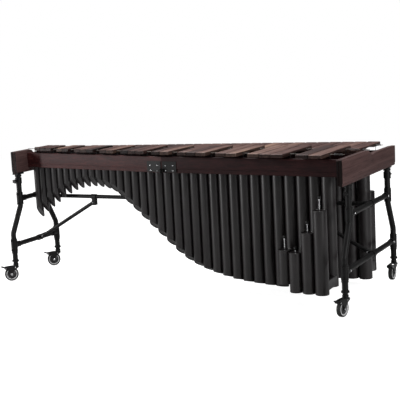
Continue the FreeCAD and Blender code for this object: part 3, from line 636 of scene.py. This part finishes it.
fold = {
    # the longest tubes turn upwards again; values in order of the four folded tubes of a row
    "count": 4, "returnRadius": .043, "ductInset": .002, "mainFoot": {"near": .105, "far": .050},
    "side": {"near": (-.132, -.158, -.158, -.164), "far": (.092,) * 4},
    "returnFoot": {"near": (.130, .089, .089, .089), "far": (.085,) * 4},
    "ductFoot": {"near": (.142, .116, .116, .116), "far": (.098,) * 4}, "ductHeight": .062,
    "heads": {"near": (.347, .340, .468, .611), "far": (.330, .380, .490, .618)},
    "rods": {"near": (.068, .012, .052, .066), "far": (.040, .048, .060, .052)},
}


def tubeSpot(row, i):
    # the middle in plan and the radius of tube i
    if row == "near":
        x = leftOf(i + 1) + tubeShape["shift"]
        return x, nearTubeLine(x), (pitch(i) + pitch(i + 1)) / 4 - tubeShape["gap"]
    x = (leftOf(i) + leftOf(i + 1)) / 2
    return x, farTubeLine(x), pitch(i) / 2 - tubeShape["gap"]


def addDuct(heap, x, main, back, half, low, high):
    # a flat duct whose two ends follow the round pipes it joins
    side = 1 if back[0] > main[0] else -1
    edge = .003
    steps = 9
    outline = []
    for (y, radius), way in ((main, side), (back, -side)):
        for i in range(steps + 1):
            across = mix(-half, half, i / steps) * (1 if way == side else -1)
            reach = math.sqrt(max(radius**2 - across**2, 0)) - .0006
            outline.append((x + across, y + way * reach))
    rings = []
    for z, inset in ((low, edge), (low + edge * .3, edge * .3), (low + edge, 0), (high - edge, 0),
                     (high - edge * .3, edge * .3), (high, edge)):
        rings.append([Vector((x + (px - x) * (1 - inset / half), py, z)) + middle for px, py in outline])
    loft(heap, rings)


ductHeap = newHeap()
foldSpots = {}
straightSpots = []
for row, count in (("near", gaps), ("far", keys["naturals"])):
    mouth = tubeShape["mouth"][row]
    heap = newHeap()
    returnHeap = newHeap()
    for i in range(count):
        x, y, radius = tubeSpot(row, i)
        number = i - (count - fold["count"]) + 1       # of the folded tube, from 1
        if number < 1 and row == "far":
            foot = smooth(farFoot, i)
            straightSpots.append((Vector((x, y, foot)) + middle, (0, 0, 1), (radius, radius, mouth - foot)))
            continue
        if number < 1:
            addTube(heap, x, y, radius, mouth, smooth(nearFoot, i), smooth(nearSlant, i), random.random())
            continue
        straight = tubeShape["straightCut"]
        addTube(heap, x, y, radius, mouth, fold["mainFoot"][row], straight, random.random())
        shift, head, foot, low = (fold[size][row][number - 1] for size in (
            "side", "heads", "returnFoot", "ductFoot"))
        backY = y + shift
        wide = fold["returnRadius"]
        foldSpots[row, number] = Vector((x, backY, head)) + middle
        addTube(returnHeap, x, backY, wide, head, foot, straight, random.random(), lid=True)
        half = wide - fold["ductInset"]
        addDuct(ductHeap, x, (y, radius), (backY, wide), half, low, low + fold["ductHeight"])
    makePiece(f"{row}Tubes", heap, tubePaint, "keyboard", [f"{row}_resonators"])
    makePiece(f"{row}ReturnTubes", returnHeap, tubePaint, "keyboard",
              [f"{row}_return_tubes"])
# the straight tubes of the far row are one tube of radius 1 and height 1, stretched to each note
plainTube = newHeap()
lathe(plainTube, Vector((0, 0, 0)), (0, 0, 1), [
    (0, .02), (0, .955), (.0015, .988), (.005, 1), (.997, 1), (.9995, .992), (1, .975), (.9995, .958),
    (.997, .952), (.02, .952), (.02, .02)], tubeShape["count"])
repeatPart("farStraightTubes", plainTube, straightSpots, tubePaint, "keyboard")
makePiece("turnDucts", ductHeap, tubePaint, "keyboard", ["turn_ducts"])
print("tubes made")

# tuning plungers
plunger = {
    "rod": .003, "piston": .0404, "knob": .011, "collar": .0055, "drop": .150, "flutes": 10, "steps": 30,
}
for (row, number), head in foldSpots.items():
    showing = fold["rods"][row][number - 1]
    body = f"{row}_plunger_{number}"
    rodHeap = newHeap()
    r = plunger["rod"]
    wide = plunger["piston"]
    collar = plunger["collar"]
    low = -plunger["drop"]
    lathe(rodHeap, head, (0, 0, 1), [
        (low, .001), (low, wide - .001), (low + .001, wide), (low + .011, wide), (low + .012, wide - .001),
        (low + .012, r), (showing - .006, r), (showing - .0055, collar), (showing + .0005, collar),
        (showing + .001, .001)], 20)
    makePiece(f"{row}PlungerRod{number}", rodHeap, steelBright, body, [body])
    knobHeap = newHeap()
    rings = []
    for along, share in ((.0002, .30), (.0008, .78), (.004, .92), (.008, 1), (.016, 1), (.019, .86),
                         (.020, .55), (.0196, .2)):
        ring = []
        for i in range(plunger["steps"]):
            a = math.tau * i / plunger["steps"]
            flute = 1 - .07 * (.5 + .5 * math.cos(plunger["flutes"] * a)) * (1 if .8 < share <= 1 else 0)
            reach = plunger["knob"] * share * flute
            ring.append(head + Vector((reach * math.cos(a), reach * math.sin(a), showing + along)))
        rings.append(ring)
    loft(knobHeap, rings)
    makePiece(f"{row}PlungerKnob{number}", knobHeap, knobPlastic, body)
print("plungers made")


def hexBolt(radius, height):
    # a hexagon head with chamfered corners on a round washer
    heap = newHeap()
    lathe(heap, Vector((0, 0, 0)), (0, 0, 1), [(0, radius), (height * .22, radius)], 18)
    rings = [ringAt(Vector((0, 0, z)), (0, 0, 1), radius * r, 6) for z, r in (
        (height * .22, .86), (height * .85, .86), (height, .74))]
    loft(heap, rings)
    return heap


def domeBolt(radius, height):
    # a button head with a hexagon socket
    heap = newHeap()
    lathe(heap, Vector((0, 0, 0)), (0, 0, 1), [(height * z, radius * r) for z, r in (
        (0, 1), (.3, 1), (.7, .84), (.95, .6), (1, .5), (1, .42), (.45, .38), (.45, .02))], 18)
    return heap


# joint plate bolts
plateShape = {
    "spans": ((-.121, -.007), (.008, .116)), "shares": (.24, .76), "drops": (.14, .62), "height": .072,
    "out": .01535, "bolt": .0052, "head": .0044, "nearFoot": .812, "farFoot": .790,
}
spots = []
for line, low, side in ((nearRail, plateShape["nearFoot"], -1), (farRail, plateShape["farFoot"], 1)):
    for start, end in plateShape["spans"]:
        for share in plateShape["shares"]:
            for drop in plateShape["drops"]:
                x = joint + mix(start, end, share)
                place = Vector((x, line(x) + side * plateShape["out"], low + plateShape["height"] * drop))
                spots.append((place + middle, (0, side, 0), (1, 1, 1)))
repeatPart("jointBolts", domeBolt(plateShape["bolt"], plateShape["head"]), spots, steelBright, "keyboard",
           ["joint_bolts"], twist=1.0, seed=5)

# cord posts with their hooks
pinShape = {"height": .03, "foot": .0034, "stem": .0014, "hookWire": .0013}
accidentalMiddle = keys["accidentalTop"] - keys["barThick"] / 2
naturalMiddle = keys["naturalTop"] - keys["barThick"] / 2
edges = sorted({round(edge, 4) for left, right in accidentalSpans for edge in (left - .0025, right + .0025)})
accidentalEdges = [edge for i, edge in enumerate(edges) if i == 0 or edge - edges[i - 1] > .008]
naturalEdges = [leftOf(key) for key in range(keys["naturals"] + 1)]
nearTop = railShape["near"][1]
farTop = railShape["far"][1]
postSpots = []
hookSpots = []
for line, cordHeight, railTop, places in (
        (nearRail, accidentalMiddle, nearTop, accidentalEdges),
        (accidentalInner, accidentalMiddle, nearTop, accidentalEdges),
        (naturalInner, naturalMiddle, farTop, naturalEdges), (farRail, naturalMiddle, farTop, naturalEdges)):
    for x in places:
        if abs(x) < inner - .003:
            rise = (cordHeight - railTop) / pinShape["height"]
            postSpots.append((Vector((x, line(x), railTop)) + middle, (0, 0, 1), (1, 1, rise)))
            hookSpots.append((Vector((x, line(x), cordHeight)) + middle, (0, 0, 1), (1, 1, 1)))
pin = newHeap()
foot = pinShape["foot"]
stem = pinShape["stem"]
lathe(pin, Vector((0, 0, 0)), (0, 0, 1),
      [(0, foot), (.0016, foot), (.0018, stem), (.0262, stem), (.027, .0006)], 8)
repeatPart("cordPostPins", pin, postSpots, feltBlack, "keyboard", ["cord_posts"])
hook = newHeap()
halfHook = [(.0036, .0062), (.0036, .002), (.0030, -.0012), (.0014, -.0030)]
hookPath = [Vector((0, y, z)) for y, z in halfHook] + [Vector((0, -y, z)) for y, z in halfHook[::-1]]
tubeAlong(hook, hookPath, pinShape["hookWire"], 6)
repeatPart("cordHooks", hook, hookSpots, feltBlack, "keyboard")

# springs that keep the cords tight at the low end
springShape = {"radius": .0052, "wire": .0008, "length": .055, "turns": 13, "stepsPerTurn": 10, "end": 1.268}
springHeap = newHeap()
for line, height in ((nearRail, accidentalMiddle), (accidentalInner, accidentalMiddle),
                     (naturalInner, naturalMiddle), (farRail, naturalMiddle)):
    path = []
    radius = springShape["radius"]
    steps = springShape["turns"] * springShape["stepsPerTurn"]
    for i in range(steps + 1):
        share = i / steps
        a = math.tau * springShape["turns"] * share
        x = springShape["end"] - springShape["length"] * (1 - share)
        path.append(Vector((x, line(x) + radius * math.cos(a), height + radius * math.sin(a))) + middle)
    tubeAlong(springHeap, path, springShape["wire"], 5)
makePiece("cordSprings", springHeap, steelDull, "keyboard", sharp=60)
print("posts and springs made")

# clamp bolts of the stand
stand = {
    "postX": 1.305, "tee": .0235, "boltGap": .035, "teeReach": .062, "bar": .0175, "lowZ": .262,
    "highZ": .589, "braceY": .048, "braceZ": .583, "hangerX": .789,
    "spread": {-1: .262, 1: .486}, "head": {-1: .154, 1: .384},      # half widths at foot and head, by end
}
corners = {"near_left": (-1, -1), "far_left": (-1, 1), "near_right": (1, -1), "far_right": (1, 1)}
blackSpots = []
silverSpots = []
for sideX, sideY in corners.values():
    for half, z in ((stand["spread"][sideX], stand["lowZ"]), (stand["head"][sideX], stand["highZ"])):
        for lift in (-stand["boltGap"], stand["boltGap"]):
            place = Vector((sideX * stand["postX"], sideY * (half + stand["tee"]), z + lift))
            blackSpots.append((place + middle, (0, sideY, 0), (1, 1, 1)))
        place = Vector((sideX * (stand["postX"] + stand["bar"] + .004),
                        sideY * (half - stand["teeReach"] + .012), z))
        silverSpots.append((place + middle, (sideX, 0, 0), (1, 1, 1)))
for sideX in (-1, 1):
    for x, y, z in ((stand["postX"] - stand["bar"] - .016, stand["braceY"] - .016, stand["lowZ"] + .012),
                    (stand["hangerX"] + .003, stand["braceY"] - .0165, stand["braceZ"] - .042)):
        silverSpots.append((Vector((sideX * x, y, z)) + middle, (0, -1, 0), (1, 1, 1)))
repeatPart("clampBolts", hexBolt(.0072, .0100), blackSpots, standPaint, "stand", ["tee_bolts"],
           twist=1.0, seed=11)
repeatPart("clampScrews", domeBolt(.0055, .0048), silverSpots, steelBright, "stand",
           twist=1.0, seed=12)
print("stand hardware made")

# castors, each in its own trailing frame
castor = {
    "trail": .035, "wheel": .050, "tyreHalf": .014, "hub": .0395, "armIn": .0165, "armOut": .0205,
    "pedal": (.076, .095), "treads": (.012, .017, .022, .027),
    "angle": {"near_left": 220, "far_left": 220, "near_right": 256, "far_right": 267},
}


def placed(heap, spot, angle):
    turn = Matrix.Translation(spot) @ Matrix.Rotation(math.radians(angle), 4, "Z")
    heap["verts"] = [turn @ v for v in heap["verts"]]
    return heap


def bulge(heap, centre, profile, count=40, closed=False):
    # a turned shape about the wheel's axle; profile holds (across, radius)
    rings = [around(centre + Vector((0, across, 0)), Vector((1, 0, 0)), Vector((0, 0, 1)), radius, count)
             for across, radius in profile]
    loft(heap, rings, closed=closed)


def plate(heap, outline, yLow, yHigh):
    # a flat plate in the X-Z plane with a soft edge
    edge = .0007
    centre = sum((Vector(p) for p in outline), Vector((0, 0))) / len(outline)
    rings = []
    for y, shrink in ((yLow, edge), (yLow + edge, 0), (yHigh - edge, 0), (yHigh, edge)):
        ring = []
        for p in outline:
            away = Vector(p) - centre
            away *= 1 - shrink / max(away.length, .001)
            ring.append(Vector((centre.x + away.x, y, centre.y + away.y)))
        rings.append(ring)
    loft(heap, rings)


# the side plate of a fork, in the plane of the wheel
armLine = [(-.019, .109), (.010, .1092), (.026, .109), (.052, .1075), (.084, .104), (.0855, .098),
           (.084, .090), (.075, .0862), (.066, .084), (.056, .077), (.048, .066), (.0455, .056),
           (.0462, .046), (.0425, .0402), (.035, .038), (.0275, .0402), (.0238, .046), (.0235, .055),
           (.021, .064), (.012, .076), (-.002, .088), (-.014, .094), (-.019, .100)]


for corner, (sideX, sideY) in corners.items():
    spot = Vector((sideX * stand["postX"], sideY * stand["spread"][sideX], 0)) + middle
    angle = castor["angle"][corner]
    axle = Vector((castor["trail"], 0, castor["wheel"]))
    half = castor["tyreHalf"]
    w = castor["wheel"]
    h = castor["hub"]
    tyre = newHeap()
    tread = [(half - .0012, h), (half, h + .001), (half, w - .0068), (half - .0008, w - .0038),
             (half - .0028, w - .0014), (half - .006, w - .0002)]
    bulge(tyre, axle, [(-y, r) for y, r in tread] + [(0, w)] + tread[::-1] + [(0, h)], closed=True)
    makePiece(f"{corner}Tyre", placed(tyre, spot, angle), tyreRubber, f"{corner}_wheel",
              [f"{corner}_tyre"])
    hub = newHeap()
    bulge(hub, axle, [(-.0080, .0060), (-.0080, .0340), (.0080, .0340), (.0080, .0060)])
    for side in (-1, 1):
        bulge(hub, axle, [(side * y, r) for y, r in (
            (.0078, .0330), (.0095, .0300), (.0100, .0200), (.0125, .0165), (.0130, .0140), (.0130, .0060))],
              32)
    makePiece(f"{corner}HubCore", placed(hub, spot, angle), hubBlack, f"{corner}_wheel",
              [f"{corner}_hub"])
    ringHeap = newHeap()
    for side in (-1, 1):
        bulge(ringHeap, axle, [(side * y, r) for y, r in (
            (.0070, .0340), (.0124, .0344), (.0134, .0352), (.0136, .0380), (.0130, .0392), (.0070, .0393))],
              48, closed=True)
    makePiece(f"{corner}HubRings", placed(ringHeap, spot, angle), hubGrey, f"{corner}_wheel")
    fork = newHeap()
    lathe(fork, Vector((0, 0, 0)), (0, 0, 1), [
        (.106, .012), (.106, .0185), (.1072, .0200), (.1125, .0200), (.1135, .0185), (.1165, .0185),
        (.1175, .0200), (.1230, .0200), (.1240, .0188), (.1240, .0090)], 36)
    block(fork, (-.019, -castor["armOut"], .1035), (.026, castor["armOut"], .1090), .0018)
    for low in (-castor["armOut"], castor["armIn"]):
        plate(fork, armLine, low, low + .004)
    makePiece(f"{corner}Fork", placed(fork, spot, angle), castorPaint, f"{corner}_fork",
              [f"{corner}_fork"])
    nuts = newHeap()
    px, pz = castor["pedal"]
    for side in (-1, 1):
        lathe(nuts, axle + Vector((0, side * .0200, 0)), (0, side, 0),
              [(0, .0092), (.0012, .0092), (.0014, .0070), (.0036, .0068), (.0043, .0052), (.0044, .0010)], 6)
        lathe(nuts, Vector((px, side * .0204, pz)), (0, side, 0),
              [(0, .0045), (.0010, .0042), (.0018, .0026), (.0020, .0005)], 14)
        lathe(nuts, Vector((.006, side * .0204, .0985)), (0, side, 0),
              [(0, .0040), (.0009, .0038), (.0016, .0024), (.0018, .0005)], 14)
    makePiece(f"{corner}ForkNuts", placed(nuts, spot, angle), steelBright, f"{corner}_fork")
    pedal = newHeap()
    lathe(pedal, Vector((px, -.0158, pz)), (0, 1, 0), [
        (0, .004), (.0004, .0062), (.0012, .0065), (.0304, .0065), (.0312, .0062), (.0316, .004)], 20)
    rings = []
    for along, rise, thick, wide in ((-.002, .002, .0060, .0140), (.006, .0065, .0060, .0150),
                                     (.014, .0100, .0062, .0150), (.022, .0134, .0064, .0148),
                                     (.028, .0150, .0064, .0142), (.0315, .0146, .0050, .0120)):
        section = ((-wide, 0), (-wide, -thick * .7), (-wide * .8, -thick), (wide * .8, -thick),
                   (wide, -thick * .7), (wide, 0), (wide * .86, .0008), (0, .0013), (-wide * .86, .0008))
        rings.append([Vector((px + along, y, pz + rise + z)) for y, z in section])
    loft(pedal, rings)
    for along in castor["treads"]:
        x = px + along
        z = pz + .0092 + (along - castor["treads"][0]) * .42
        block(pedal, (x - .0009, -.0115, z), (x + .0009, .0115, z + .0019), .0004)
    makePiece(f"{corner}Pedal", placed(pedal, spot, angle), castorPaint, f"{corner}_brake_pedal",
              [f"{corner}_brake_pedal"])
print("castors made")

# CAD nodes that keep their shape get these finishes
finishOf = {
    "rail_wood": railWood, "resonator_black": tubePaint, "stand_black": standPaint, "cord": cordTwist,
    "knob_plastic": knobPlastic,
}
for part in frame["record"]["subparts"]:
    node = nodes[part["node"]]
    if node.hide_render:
        continue
    node.data.materials.clear()
    node.data.materials.append(finishOf[part["material_slot"]])

# floor, light and camera
studio = {
    "lens": 90.47, "sensor": 36, "eye": (3.294, -5.979, 1.623), "yaw": 28.058, "pitch": 8.699, "roll": -3.056,
    "floor": (.5, .5, .5), "air": .12, "glow": .90,
}
floorMesh = bpy.data.meshes.new("floor")
floorMesh.from_pydata([(-7, -7, 0), (7, -7, 0), (7, 8, 0), (-7, 8, 0)], [], [(0, 1, 2, 3)])
floor = addObject("floor", floorMesh)
floorPaint, floorTree, floorShader = newFinish("paleFloor")
floorShader.inputs["Base Color"].default_value = (*studio["floor"], 1)
floorShader.inputs["Roughness"].default_value = .9
floorShader.inputs["Emission Color"].default_value = (1, 1, 1, 1)
seen = put(floorTree, "LightPath").outputs["Is Camera Ray"]
floorTree.links.new(spread(floorTree, seen, 0, studio["glow"]), floorShader.inputs["Emission Strength"])
floorMesh.materials.append(floorPaint)


def softbox(name, place, aim, size, power):
    data = bpy.data.lights.new(name, "AREA")
    data.shape = "RECTANGLE"
    data.size, data.size_y = size
    data.energy = power
    light = addObject(name, data)
    light.location = place
    light.rotation_mode = "QUATERNION"
    light.rotation_quaternion = (Vector(aim) - Vector(place)).to_track_quat("-Z", "Y")


softbox("leftBox", (-5.2, -3.4, 1.6), (-.3, -.2, .5), (.7, 2.8), 205)
softbox("topBox", (0, .6, 4.6), (0, 0, .8), (6, 5), 330)
softbox("rightFill", (6.5, -2.5, 2.2), (.8, 0, .5), (1.2, 2.4), 190)

world = bpy.data.worlds.new("studio")
bpy.context.scene.world = world
world.use_nodes = True
worldTree = world.node_tree
sky = worldTree.nodes["Background"]
seen = put(worldTree, "LightPath").outputs["Is Camera Ray"]
worldTree.links.new(spread(worldTree, seen, studio["air"], 1), sky.inputs["Strength"])
sky.inputs["Color"].default_value = (1, 1, 1, 1)

yaw, lean, roll = (math.radians(studio[k]) for k in ("yaw", "pitch", "roll"))
ahead = Vector((-math.sin(yaw) * math.cos(lean), math.cos(yaw) * math.cos(lean), -math.sin(lean)))
rightward = Vector((math.cos(yaw), math.sin(yaw), 0))
upward = rightward.cross(ahead)
turnedRight = rightward * math.cos(roll) + upward * math.sin(roll)
turnedUp = upward * math.cos(roll) - rightward * math.sin(roll)
cameraData = bpy.data.cameras.new("camera")
cameraData.lens = studio["lens"]
cameraData.sensor_width = studio["sensor"]
camera = addObject("camera", cameraData)
turned = Matrix((turnedRight, turnedUp, -ahead)).transposed().to_4x4()
camera.matrix_world = Matrix.Translation(Vector(studio["eye"]) + middle) @ turned
bpy.context.scene.camera = camera
bpy.context.scene.view_settings.view_transform = "Standard"
print("studio set")
